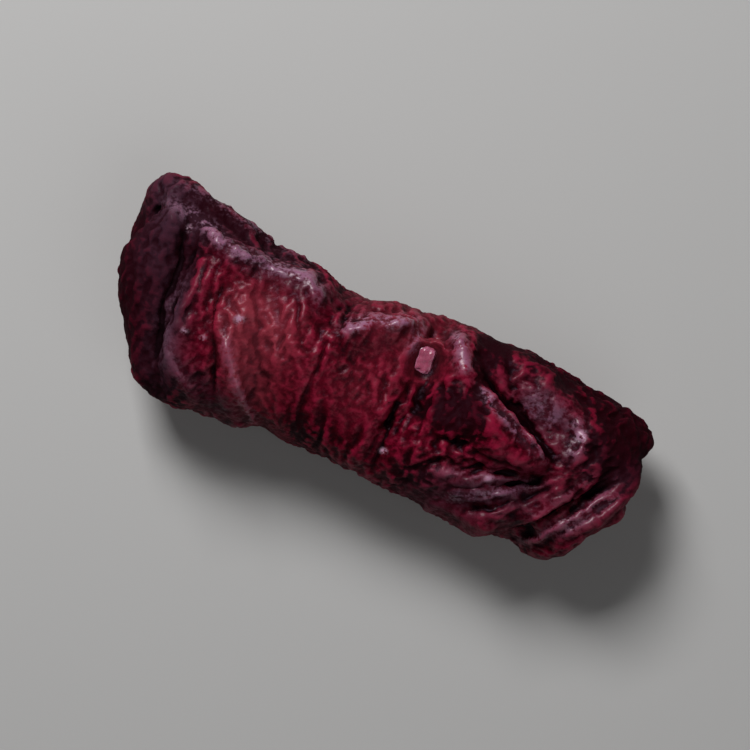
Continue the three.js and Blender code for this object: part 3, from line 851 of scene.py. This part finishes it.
@dataclass
class BerrySkin:
    """The berry's skin, all round.

    The cheek, slant and right bands are stretches along the berry. The facing, above and steep bands are
    stretches of how far the skin faces up.
    """

    name: str = "berry_skin"
    weld: float = 0.004
    even_passes: int = 3

    grain_half: Pair = (0.36, 0.50)
    grain_depth: float = 1.0
    seat_half: Pair = (0.27, 0.42)
    seat_depth: float = 0.21
    seat_slope: float = 0.26
    seat_power: float = 1.5
    seat_reach: float = 1.2

    fold_share: float = 0.78
    fold_passes: tuple[int, int] = (5, 60)
    cheek_ease: float = 0.5
    cheek_from: Band = (-6.6, -5.6)
    cheek_to: Band = (0.6, -0.4)

    press: float = 0.75
    upward: float = 1.2
    facing_up: Band = (0.0, 0.4)
    drop_rise: float = 0.02
    broad_line: float = 0.3
    stray: float = 0.12
    stray_reach: float = 0.9
    stray_seeds: Pair = (1.3, 5.9)
    uneven: float = 0.6
    uneven_reach: float = 0.7
    uneven_seed: float = 11.0
    patchy: float = 1.1
    patchy_reach: float = 1.3
    patchy_seed: float = 21.0

    shrink_bias: float = 0.6
    shrink_turn: float = -0.95
    shrink_slant: Band = (0.0, 5.0)
    first_drying: DryingTurn = DryingTurn(0.03, 0.05, 0.05, 0.06, 50, 0.06, 0.6, 3.3)
    last_drying: DryingTurn = DryingTurn(0.05, 0.06, 0.05, 0.07, 24, 0.015, 0.2, 7.1)
    crown: float = 0.3

    fine_passes: int = 16
    fine_height: float = 0.09
    broad_passes: int = 250
    broad_share: float = 0.9
    broad_height: float = 0.6
    above_band: Band = (-0.4, 0.3)
    steep_band: Band = (0.2, 0.85)
    right_band: Band = (0.5, 3.5)
    wet_and_glint_gain: float = 1.6
    wet_and_glint_loss: float = 0.3
    painted_sheen_spread: float = 1.25
    # The nest lifts the crest and fold values round the grain, which lightens the painted crease shade there
    nest: Patch = Patch(*GRAIN_SPOT, 0.65, 0.8, 0, 1.0)
    nest_crest: float = 0.35
    nest_fold: float = 0.45

    # Purple bloom patches: partly dusty bloom, partly painted sheen
    bloom_and_sheen: tuple[Patch, ...] = (
        Patch(-7.9, 1.5, 0.7, 1.5, 5, 0.6),  # the cap
        Patch(-8.5, 2.9, 0.9, 0.6, -20, 1.0),  # the cap's upper corner
        Patch(-6.5, -1.2, 0.7, 2.0, 12, 0.9),  # the shoulder
        Patch(5.5, 0.9, 1.6, 0.65, -22, 0.9),  # the hollow
        Patch(-4.8, 1.9, 3.0, 0.45, -4, 0.9),  # the crest over the cheek
        Patch(4.4, -2.2, 2.4, 0.9, 25, 0.9),  # the fan
        Patch(8.0, -1.2, 0.7, 2.0, -32, 0.4),  # the lip
        Patch(-4.6, -2.6, 1.3, 0.5, -20, 0.7),  # the cheek's foot
    )
    # Red flush patches, partly painted light: the lit cheek and the shade round the grain are painted
    # brighter
    flush_and_light: tuple[Patch, ...] = (
        Patch(-4.0, 0.1, 1.0, 0.9, -25, 1.5),  # the cheek
        Patch(-3.6, -1.7, 1.1, 0.6, -50, 1.0),  # the cheek's lower half
        Patch(-2.6, -0.8, 1.0, 1.2, 0, 0.2),  # beside the cheek
        Patch(0.2, 1.9, 1.3, 0.9, 0, 0.5),  # behind the middle ridge
        Patch(1.28, 1.05, 0.55, 0.75, 0, 0.45),  # round the grain of sugar, painted light in the shade of its pit
        Patch(-0.2, -0.4, 1.1, 1.3, 0, 0.25),  # the middle
    )
    # Dark patches, partly darker skin and partly painted shade: the feet along the lower edge, the gutter,
    # the collar and the furrow are painted as shade
    dark_and_shade: tuple[Patch, ...] = (
        Patch(-8.2, 0.2, 1.4, 2.6, 0, 1.5),  # the cap
        Patch(-6.2, -2.9, 1.8, 0.8, -30, 0.9),  # the shoulder's foot
        Patch(-6.7, 0.0, 0.5, 3.0, 6, 0.9),  # the collar
        Patch(-4.8, 2.7, 3.4, 0.55, -4, 1.0),  # the gutter
        Patch(-1.3, -2.4, 1.2, 0.8, 0, 0.7),  # the middle's foot
        Patch(2.8, -0.05, 1.1, 0.8, 0, 1.6),  # beside the waist
        Patch(2.2, -2.4, 1.4, 0.8, 0, 0.6),  # the waist's foot
        Patch(5.6, 2.4, 3.2, 0.7, -8, 1.0),  # behind the hollow
        Patch(3.1, 1.9, 0.6, 0.8, 0, 0.8),  # the furrow's upper end
        Patch(8.2, 0.9, 1.3, 1.6, 0, 1.4),  # the calyx end
    )
    # Small raised drops of juice, glossy, whose pale colour is a painted glint
    drops: tuple[Patch, ...] = (
        Patch(-4.55, -0.05, 0.17, 0.13, 20, 1.0),
        Patch(-5.98, -1.05, 0.13, 0.10, 0, 0.7),
        Patch(-5.36, -1.03, 0.13, 0.12, 0, 0.6),
        Patch(-7.15, 1.95, 0.14, 0.18, 0, 0.5),
        Patch(1.17, -2.08, 0.12, 0.10, 0, 1.0),
        Patch(6.67, 0.76, 0.17, 0.19, 0, 1.0),
        Patch(4.52, -1.58, 0.20, 0.11, 35, 0.7),
    )

    def build(self) -> bpy.types.Object:
        """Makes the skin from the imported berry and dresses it.

        Returns:
            The skin, in place.
        """
        low, high = (np.array(corner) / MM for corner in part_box(NODE))
        data, grain_top = self.bare_skin()
        cells = SkinCells(data)
        cells.cut_finer()
        self.slacken(cells)
        cells.dry(self.first_drying, self.shrink_share(cells))
        cells.cut_finer()
        cells.points = cells.smoothed(cells.points, self.even_passes)
        self.crease(cells)
        self.crumple(cells)
        cells.dry(self.last_drying, self.shrink_share(cells))
        self.seat_grain(cells, grain_top)
        self.settle(cells, low, high)
        traits = self.traits(cells)
        cells.points = cells.points * MM
        cells.write()
        return placed(self.name, cells.data, traits, SkinFinish().material())

    def bare_skin(self) -> tuple[bpy.types.Mesh, float]:
        """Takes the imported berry's skin without the grain of sugar.

        Returns:
            The skin in millimetres, and the height of the grain's top.
        """
        mesh = bmesh.new()
        mesh.from_mesh(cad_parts[NODE].data)
        bmesh.ops.scale(mesh, vec=(1.0 / MM,) * 3, verts=mesh.verts)
        bmesh.ops.remove_doubles(mesh, verts=mesh.verts, dist=self.weld)
        (x, y), (half_x, half_y) = GRAIN_SPOT, self.grain_half
        top = max(v.co.z for v in mesh.verts if math.dist(v.co[:2], GRAIN_SPOT) < half_x)
        foot = top - self.grain_depth
        sugar = [v for v in mesh.verts
                 if abs(v.co.x - x) < half_x and abs(v.co.y - y) < half_y and v.co.z > foot]
        bmesh.ops.delete(mesh, geom=sugar, context="VERTS")
        rim = [e for e in mesh.edges if e.is_boundary]
        bmesh.ops.triangle_fill(mesh, use_beauty=True, edges=rim)
        bmesh.ops.triangulate(mesh, faces=mesh.faces)
        bmesh.ops.recalc_face_normals(mesh, faces=mesh.faces)
        log.info("open edges of the skin: %d", sum(not e.is_manifold for e in mesh.edges))
        data = bpy.data.meshes.new(self.name)
        mesh.to_mesh(data)
        mesh.free()
        return data, top

    def slacken(self, cells: SkinCells) -> None:
        """Eases the broad folds a little, most on the cheek, so that the finer relief shows on them.

        Args:
            cells: The skin.
        """
        even = cells.smoothed(cells.points, self.fold_passes[0])
        broad = cells.smoothed(even, self.fold_passes[1])
        x = even[:, 0]
        kept = 1.0 - self.cheek_ease * smoothstep(x, self.cheek_from) * smoothstep(x, self.cheek_to)
        cells.points = broad + (self.fold_share * kept)[:, None] * (even - broad)

    def shrink_share(self, cells: SkinCells) -> np.ndarray:
        """How much of the shrinking each spring has: most along the berry, and aslant towards its calyx end.

        Args:
            cells: The skin.

        Returns:
            One value per spring.
        """
        a, b = cells.springs[:, 0], cells.springs[:, 1]
        normal = cells.normals()[a]
        long_way = np.array([1.0, 0.0, 0.0]) - normal * normal[:, :1]
        long_way /= np.maximum(np.linalg.norm(long_way, axis=1, keepdims=True), 1e-6)
        round_way = np.cross(normal, long_way)
        gap = cells.points[b] - cells.points[a]
        direction = np.arctan2(np.sum(gap * round_way, axis=1), np.sum(gap * long_way, axis=1))
        greatest = self.shrink_turn * smoothstep(cells.points[a, 0], self.shrink_slant)
        return 1.0 + self.shrink_bias * np.cos(2.0 * (direction - greatest))

    def crease(self, cells: SkinCells) -> None:
        """Presses the named crests and furrows into the upper side, mostly straight up or down.

        Args:
            cells: The skin.
        """
        normal = cells.normals()
        x, y = (cells.points[:, k] + self.stray * cells.unevenness(self.stray_reach, self.stray_seeds[k])
                for k in range(2))
        uneven = 1.0 + self.uneven * cells.unevenness(self.uneven_reach, self.uneven_seed)
        height = np.zeros(len(x))
        for line in CREASES:
            sway = 1.0 if line.half > self.broad_line else uneven
            height += line.rise * line.nearness(x, y, line.half) * sway
        height = self.press * height * smoothstep(normal[:, 2], self.facing_up)
        height += self.drop_rise * sum(drop_glint.cover(x, y) for drop_glint in self.drops)
        aim = normal + np.array([0.0, 0.0, self.upward])
        cells.points = cells.points + aim / np.linalg.norm(aim, axis=1, keepdims=True) * height[:, None]

    def crumple(self, cells: SkinCells) -> None:
        """Raises the small bumps and short crests between the creases.

        Args:
            cells: The skin.
        """
        x, y = cells.points[:, 0], cells.points[:, 1]
        height = np.zeros(len(x))
        for part in CRUMPLES:
            height += part.height(cells.points, part.cover(x, y))
        height *= 1.0 + self.patchy * cells.unevenness(self.patchy_reach, self.patchy_seed)
        cells.points = cells.points + cells.normals() * height[:, None]

    def seat_grain(self, cells: SkinCells, grain_top: float) -> None:
        """Presses the skin down where the grain of sugar sits, so that the grain stands out of the furrow.

        Args:
            cells: The skin.
            grain_top: The height of the grain's top.
        """
        p, half = cells.points, self.seat_half
        aside = np.hypot(*((p[:, k] - GRAIN_SPOT[k]) / half[k] for k in range(2))) - 1.0
        most = grain_top - self.seat_depth + self.seat_slope * np.maximum(aside, 0.0) ** self.seat_power
        upper = p[:, 2] > grain_top - self.seat_reach
        p[:, 2] = np.where(upper, np.minimum(p[:, 2], most), p[:, 2])

    def settle(self, cells: SkinCells, low: np.ndarray, high: np.ndarray) -> None:
        """Presses the underside flat, eases the highest crests and brings the skin to the berry's box.

        Args:
            cells: The skin.
            low: The box's lowest corner.
            high: The box's highest corner.
        """
        p = cells.points
        p[:, 2] = np.maximum(p[:, 2], low[2])
        brow = high[2] - self.crown
        over = p[:, 2] > brow
        p[over, 2] = brow + self.crown * np.tanh((p[over, 2] - brow) / self.crown)
        now_low, now_high = p.min(axis=0), p.max(axis=0)
        cells.points = low + (p - now_low) * (high - low) / (now_high - now_low)

    def traits(self, cells: SkinCells) -> dict[Trait, np.ndarray]:
        """Works out what the finish needs to know of each vertex.

        Args:
            cells: The finished skin.

        Returns:
            One value from 0 to 1 per vertex for each trait.
        """
        normal = cells.normals()
        even = cells.smoothed(cells.points, self.fine_passes)
        broad = cells.smoothed(cells.points, self.broad_passes, self.broad_share)
        out_of_even = np.sum((cells.points - even) * normal, axis=1)
        out_of_broad = np.sum((cells.points - broad) * normal, axis=1)
        x, y = cells.points[:, 0], cells.points[:, 1]
        above = smoothstep(normal[:, 2], self.above_band)
        nest = self.nest.cover(x, y)
        # How much painted lilac sheen each place gets from the named crests
        pale = sum(c.pale * c.nearness(x, y, self.painted_sheen_spread * c.half) for c in CREASES if c.pale)
        wet_and_glint = self.wet_and_glint_gain * sum(drop_glint.cover(x, y) for drop_glint in self.drops) - self.wet_and_glint_loss
        return {
            Trait.CREST: held(0.5 + out_of_even / self.fine_height + self.nest_crest * nest),
            Trait.SIDE: 1.0 - above,
            Trait.STEEP: 1.0 - smoothstep(normal[:, 2], self.steep_band),
            Trait.FOLD: held(0.5 + out_of_broad / self.broad_height + self.nest_fold * nest),
            Trait.BLOOM_AND_SHEEN: covered(self.bloom_and_sheen, x, y) * above,
            Trait.FLUSH_AND_LIGHT: covered(self.flush_and_light, x, y) * above,
            Trait.DARK_AND_SHADE: covered(self.dark_and_shade, x, y) * above,
            Trait.RIGHT: smoothstep(x, self.right_band),
            Trait.WET_AND_GLINT: held(wet_and_glint) * above,
            Trait.PAINTED_SHEEN: held(pale) * above,
        }


@dataclass
class SugarGrain:
    """The grain of sugar held in the waist fold: a crystal block with rubbed corners."""

    name: str = "sugar_grain"
    size: tuple[float, float, float] = (0.58, 0.88, 0.70)
    turn: tuple[float, float, float] = (0.12, -0.1, 0.08)
    wear: float = 0.16
    wear_steps: int = 2
    cuts: int = 9
    pitting: float = 0.05
    pit_size: float = 0.16
    pit_shift: tuple[float, float, float] = (4.0, 9.0, 2.0)
    edge_share: float = 0.72
    top_reach: float = 0.3
    proud: float = 0.01

    def build(self) -> bpy.types.Object:
        """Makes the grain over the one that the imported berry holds, and dresses it.

        Returns:
            The grain, in place.
        """
        mesh = self.block()
        edges = self.worn_edges(mesh)
        self.place(mesh)
        data = bpy.data.meshes.new(self.name)
        mesh.to_mesh(data)
        mesh.free()
        return placed(self.name, data, {Trait.EDGE: edges}, SugarFinish().material())

    def block(self) -> bmesh.types.BMesh:
        """Makes the pitted block with rounded edges.

        Returns:
            The block about the origin, in triangles. A quad could be cut along another diagonal in each run,
            because the bevel doesn't always start its faces at the same corner.
        """
        mesh = bmesh.new()
        bmesh.ops.create_cube(mesh, size=1.0)
        bmesh.ops.scale(mesh, vec=self.size, verts=mesh.verts)
        bmesh.ops.bevel(mesh, geom=mesh.edges, offset=self.wear, offset_type="OFFSET", affect="EDGES",
                        segments=self.wear_steps, profile=0.5, material=-1)
        bmesh.ops.subdivide_edges(mesh, edges=mesh.edges, cuts=self.cuts, use_grid_fill=True)
        for v in mesh.verts:
            pit = noise.noise(v.co / self.pit_size + Vector(self.pit_shift))
            v.co += v.co.normalized() * self.pitting * pit
        bmesh.ops.triangulate(mesh, faces=mesh.faces, quad_method="SHORT_EDGE")
        return mesh

    def worn_edges(self, mesh: bmesh.types.BMesh) -> np.ndarray:
        """1 at each vertex near an edge of the block that isn't turned yet, and 0 elsewhere."""
        near = [sum(abs(c) / (0.5 * side) > self.edge_share for c, side in zip(v.co, self.size))
                for v in mesh.verts]
        return np.array([1.0 if sides > 1 else 0.0 for sides in near])

    def place(self, mesh: bmesh.types.BMesh) -> None:
        """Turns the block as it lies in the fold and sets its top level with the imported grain's.

        Args:
            mesh: The block.
        """
        tops = [v.co.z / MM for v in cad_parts[NODE].data.vertices
                if math.dist((v.co.x / MM, v.co.y / MM), GRAIN_SPOT) < self.top_reach]
        for axis, turn in zip("XYZ", self.turn):
            bmesh.ops.rotate(mesh, cent=(0, 0, 0), matrix=Matrix.Rotation(turn, 3, axis), verts=mesh.verts)
        rise = max(tops) - max(v.co.z for v in mesh.verts) + self.proud
        bmesh.ops.translate(mesh, vec=(*GRAIN_SPOT, rise), verts=mesh.verts)
        bmesh.ops.scale(mesh, vec=(MM,) * 3, verts=mesh.verts)


# The studio, with its lengths in metres


@dataclass(frozen=True)
class Lamp:
    """A square lamp that hangs so far right of the berry in the picture, up the picture and above it."""

    name: str
    right: float
    up: float
    above: float
    size: float
    energy: float


@dataclass
class Studio:
    """The floor, the light and the camera, which looks straight down as the photo's does.

    Filled is the share of the picture's width that the berry's length takes. Clip is the camera's nearest
    and farthest sight, as shares of its distance.
    """

    lens: float = 135.0
    sensor: float = 36.0
    filled: float = 0.76
    roll: float = 23.0
    clip: Band = (0.1, 20.0)
    floor_half: float = 0.6
    key: Lamp = Lamp("key", -0.03, 0.075, 0.085, 0.045, 0.14)
    fill: Lamp = Lamp("fill", 0.05, -0.08, 0.09, 0.12, 0.03)
    sky: Colour = (0.95, 0.97, 1.0)
    sky_strength: float = 0.03

    def build(self) -> None:
        """Sets up everything round the berry."""
        low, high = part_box(NODE)
        middle = (low + high) / 2
        self.lay_floor()
        for lamp in (self.key, self.fill):
            self.hang(lamp, middle)
        self.light_sky()
        self.place_camera(middle, (high - low).x)

    def lay_floor(self) -> None:
        """Lays the floor under the berry."""
        mesh = bmesh.new()
        bmesh.ops.create_grid(mesh, x_segments=1, y_segments=1, size=self.floor_half)
        data = bpy.data.meshes.new("floor")
        mesh.to_mesh(data)
        mesh.free()
        floor = bpy.data.objects.new("floor", data)
        bpy.context.scene.collection.objects.link(floor)
        data.materials.append(FloorFinish().material())

    def hang(self, lamp: Lamp, middle: Vector) -> None:
        """Hangs a lamp that faces the berry.

        Args:
            lamp: The lamp.
            middle: The berry's middle.
        """
        roll = math.radians(self.roll)
        up = Vector((-math.sin(roll), math.cos(roll), 0.0))
        right = Vector((math.cos(roll), math.sin(roll), 0.0))
        place = middle + lamp.up * up + lamp.right * right + Vector((0, 0, lamp.above))
        light = bpy.data.lights.new(lamp.name, "AREA")
        light.size = lamp.size
        light.energy = lamp.energy
        made = bpy.data.objects.new(lamp.name, light)
        made.location = place
        made.rotation_euler = (middle - place).to_track_quat("-Z", "Y").to_euler()
        bpy.context.scene.collection.objects.link(made)

    def light_sky(self) -> None:
        """Gives the room its faint even light."""
        world = bpy.data.worlds.new("studio")
        world.use_nodes = True
        sky = world.node_tree.nodes["Background"]
        sky.inputs["Color"].default_value = (*self.sky, 1.0)
        sky.inputs["Strength"].default_value = self.sky_strength
        bpy.context.scene.world = world
        bpy.context.scene.view_settings.view_transform = "Standard"

    def place_camera(self, middle: Vector, length: float) -> None:
        """Places the camera straight above, turned so that the berry lies as in the photo.

        Args:
            middle: The berry's middle.
            length: The berry's length.
        """
        data = bpy.data.cameras.new("camera")
        data.lens, data.sensor_width = self.lens, self.sensor
        camera = bpy.data.objects.new("camera", data)
        away = length / self.filled * self.lens / self.sensor
        camera.location = (middle.x, middle.y, middle.z + away)
        camera.rotation_euler = (0.0, 0.0, math.radians(self.roll))
        data.clip_start, data.clip_end = (share * away for share in self.clip)
        bpy.context.scene.collection.objects.link(camera)
        bpy.context.scene.camera = camera


def main() -> None:
    """Builds the pieces in order."""
    logging.basicConfig(level=logging.INFO, format="%(message)s")
    noise.seed_set(NOISE_SEED)
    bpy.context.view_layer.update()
    Studio().build()
    for maker in (BerrySkin(), SugarGrain()):
        piece = maker.build()
        log.info("%s: %d faces", piece.name, len(piece.data.polygons))


if __name__ == "__main__":
    main()
